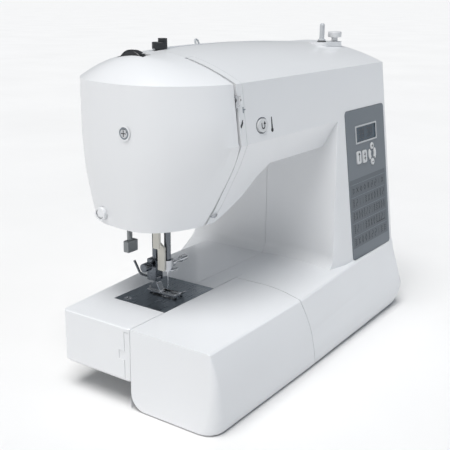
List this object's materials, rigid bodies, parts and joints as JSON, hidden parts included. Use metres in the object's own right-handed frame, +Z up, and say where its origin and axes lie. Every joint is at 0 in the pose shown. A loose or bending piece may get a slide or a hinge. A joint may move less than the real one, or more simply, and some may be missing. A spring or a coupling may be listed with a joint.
{
  "type": "sewing machine",
  "caption": "White free-arm domestic sewing machine with electronic stitch panel, extension table, handwheel, needle and presser foot mechanism.",
  "frame": {"origin": "middle of the bounding box in plan, on the table surface under the feet", "axes": "+X along the bed to the handwheel, +Y from the operator to the back, +Z up from the table"},
  "size_m": [0.392, 0.206, 0.3075],
  "materials": {
    "white_plastic": "glossy moulded",
    "grey_plastic": "fine satin",
    "light_plastic": "satin",
    "cream_plastic": "satin",
    "dark_plastic": "satin",
    "polished_steel": "polished",
    "dark_chrome": "polished, dark",
    "ground_steel": "ground",
    "frame_casting": "as cast",
    "belt_rubber": "matt",
    "board_green": "solder resist",
    "screen_glass": "smooth, dark"
  },
  "bodies": {
    "machine": {"front_cover": "white_plastic", "rear_cover": "white_plastic", "face_cover": "white_plastic", "thread_channel": "white_plastic", "needle_plate": "dark_chrome", "arm_bottom_cover": "light_plastic", "base_tray": "light_plastic", "winder_platform": "white_plastic", "foot_front_left": "belt_rubber", "foot_front_right": "belt_rubber", "foot_rear_left": "belt_rubber", "foot_rear_right": "belt_rubber", "cast_frame": "frame_casting", "timing_belt": "belt_rubber", "motor": "frame_casting", "presser_spring": "ground_steel", "thread_cutter": "white_plastic", "shuttle_race": "dark_chrome", "bobbin_case": "polished_steel", "bobbin_stopper": "white_plastic", "spool_pin": "light_plastic", "control_panel": "grey_plastic", "display": "screen_glass", "circuit_board": "board_green", "power_inlet": "dark_plastic"},
    "drive": {"main_shaft": "ground_steel", "handwheel": "white_plastic", "crank_disc": "frame_casting"},
    "lower_drive": {"lower_shaft": "ground_steel"},
    "motor_drive": {"motor_pulley": "ground_steel"},
    "needle_group": {"needle_bar": "dark_chrome", "needle_clamp": "polished_steel", "clamp_screw": "polished_steel", "needle": "polished_steel"},
    "link": {"needle_link": "ground_steel"},
    "take_up": {"take_up_lever": "polished_steel"},
    "presser_group": {"presser_bar": "dark_chrome", "foot_screw": "dark_chrome"},
    "foot": {"presser_foot": "polished_steel"},
    "lifter": {"lifter_lever": "grey_plastic"},
    "threader": {"needle_threader": "cream_plastic"},
    "buttonhole": {"buttonhole_lever": "grey_plastic"},
    "hook": {"shuttle_hook": "polished_steel"},
    "bobbin_body": {"bobbin": "light_plastic"},
    "feed": {"feed_dog": "ground_steel"},
    "tension": {"tension_dial": "dark_plastic"},
    "pressure": {"pressure_knob": "dark_plastic"},
    "winder": {"winder_carrier": "dark_plastic"},
    "spindle": {"winder_spindle": "light_plastic"},
    "handle": {"carry_handle": "white_plastic"},
    "table": {"extension_table": "white_plastic"},
    "shuttle_door": {"shuttle_cover": "white_plastic"},
    "mode_key": {"mode_button": "light_plastic"},
    "adjust_key": {"adjust_button": "light_plastic"},
    "up_key": {"selector_up": "light_plastic"},
    "down_key": {"selector_down": "light_plastic"},
    "left_key": {"selector_left": "light_plastic"},
    "right_key": {"selector_right": "light_plastic"},
    "reverse_key": {"reverse_button": "light_plastic"},
    "switch": {"power_switch": "dark_plastic"}
  },
  "joints": [
    {"name": "drive_spin", "type": "hinge", "parent": "machine", "child": "drive", "pos_m": [0.044, 0.009, 0.232], "axis": [1, 0, 0], "continuous": true},
    {"name": "lower_spin", "type": "hinge", "parent": "machine", "child": "lower_drive", "pos_m": [0.044, 0.037, 0.045], "axis": [1, 0, 0], "continuous": true},
    {"name": "motor_spin", "type": "hinge", "parent": "machine", "child": "motor_drive", "pos_m": [0.149, -0.027, 0.112], "axis": [1, 0, 0], "continuous": true},
    {"name": "needle_stroke", "type": "slide", "parent": "machine", "child": "needle_group", "axis": [0, 0, 1], "range_m": [-0.015, 0.0145]},
    {"name": "link_swing", "type": "hinge", "parent": "needle_group", "child": "link", "pos_m": [-0.108, 0.009, 0.19218], "axis": [1, 0, 0], "range_deg": [-0.5, 43]},
    {"name": "take_up_swing", "type": "hinge", "parent": "machine", "child": "take_up", "pos_m": [-0.1132, -0.015, 0.222], "axis": [1, 0, 0], "range_deg": [-14, 26]},
    {"name": "presser_lift", "type": "slide", "parent": "machine", "child": "presser_group", "axis": [0, 0, 1], "range_m": [0, 0.005], "deforming": ["presser_spring"]},
    {"name": "foot_tilt", "type": "hinge", "parent": "presser_group", "child": "foot", "pos_m": [-0.116, 0.023, 0.0815], "axis": [1, 0, 0], "range_deg": [-2, 2]},
    {"name": "lifter_swing", "type": "hinge", "parent": "machine", "child": "lifter", "pos_m": [-0.096, 0.0315, 0.168], "axis": [0, -1, 0], "range_deg": [0, 60.2]},
    {"name": "threader_slide", "type": "slide", "parent": "machine", "child": "threader", "axis": [0, 0, 1], "range_m": [-0.01, 0], "stiffness_N_per_m": 40, "springref_m": 0.003},
    {"name": "buttonhole_slide", "type": "slide", "parent": "machine", "child": "buttonhole", "axis": [0, 0, 1], "range_m": [-0.018, 0]},
    {"name": "hook_swing", "type": "hinge", "parent": "machine", "child": "hook", "pos_m": [-0.116, 0.025, 0.046], "axis": [0, 1, 0], "range_deg": [-103, 103]},
    {"name": "bobbin_spin", "type": "hinge", "parent": "machine", "child": "bobbin_body", "pos_m": [-0.116, 0.001, 0.046], "axis": [0, 1, 0], "continuous": true},
    {"name": "feed_stroke", "type": "slide", "parent": "machine", "child": "feed", "axis": [0, 1, 0], "range_m": [-0.0025, 0.0025]},
    {"name": "tension_turn", "type": "hinge", "parent": "machine", "child": "tension", "pos_m": [-0.136, 0.0265, 0.2779], "axis": [1, 0, 0], "range_deg": [-140, 140]},
    {"name": "pressure_turn", "type": "hinge", "parent": "machine", "child": "pressure", "pos_m": [-0.104, 0.025, 0.29], "axis": [0, 0, 1], "range_deg": [-270, 270]},
    {"name": "winder_engage", "type": "slide", "parent": "machine", "child": "winder", "axis": [0.9048, -0.4258, 0], "range_m": [0, 0.003]},
    {"name": "spindle_spin", "type": "hinge", "parent": "winder", "child": "spindle", "pos_m": [0.144, 0.001, 0.298], "axis": [0, 0, 1], "continuous": true},
    {"name": "handle_lift", "type": "hinge", "parent": "machine", "child": "handle", "pos_m": [0.012, 0.091, 0.2752], "axis": [-1, 0, 0], "range_deg": [0, 90]},
    {"name": "table_slide", "type": "slide", "parent": "machine", "child": "table", "axis": [-1, 0, 0], "range_m": [0, 0.15]},
    {"name": "shuttle_door_swing", "type": "hinge", "parent": "machine", "child": "shuttle_door", "pos_m": [-0.1424, -0.015, 0.03], "axis": [1, 0, 0], "range_deg": [0, 90]},
    {"name": "mode_key_press", "type": "slide", "parent": "machine", "child": "mode_key", "axis": [0, 0.9923, -0.124], "range_m": [0, 0.001], "stiffness_N_per_m": 300},
    {"name": "adjust_key_press", "type": "slide", "parent": "machine", "child": "adjust_key", "axis": [0, 0.9923, -0.124], "range_m": [0, 0.001], "stiffness_N_per_m": 300},
    {"name": "up_key_press", "type": "slide", "parent": "machine", "child": "up_key", "axis": [0, 0.9923, -0.124], "range_m": [0, 0.001], "stiffness_N_per_m": 300},
    {"name": "down_key_press", "type": "slide", "parent": "machine", "child": "down_key", "axis": [0, 0.9923, -0.124], "range_m": [0, 0.001], "stiffness_N_per_m": 300},
    {"name": "left_key_press", "type": "slide", "parent": "machine", "child": "left_key", "axis": [0, 0.9923, -0.124], "range_m": [0, 0.001], "stiffness_N_per_m": 300},
    {"name": "right_key_press", "type": "slide", "parent": "machine", "child": "right_key", "axis": [0, 0.9923, -0.124], "range_m": [0, 0.001], "stiffness_N_per_m": 300},
    {"name": "reverse_press", "type": "slide", "parent": "machine", "child": "reverse_key", "axis": [0, 0.9923, -0.124], "range_m": [0, 0.0025], "stiffness_N_per_m": 150},
    {"name": "switch_rock", "type": "hinge", "parent": "machine", "child": "switch", "pos_m": [0.172, 0.065, 0.041], "axis": [0, 1, 0], "range_deg": [0, 12]}
  ],
  "couplings": [
    {"joint": "lower_spin", "follows": "drive_spin", "ratio": 1},
    {"joint": "motor_spin", "follows": "drive_spin", "ratio": 2.125},
    {"joint": "lifter_swing", "follows": "presser_lift", "rad_per_m": 209.44}
  ]
}
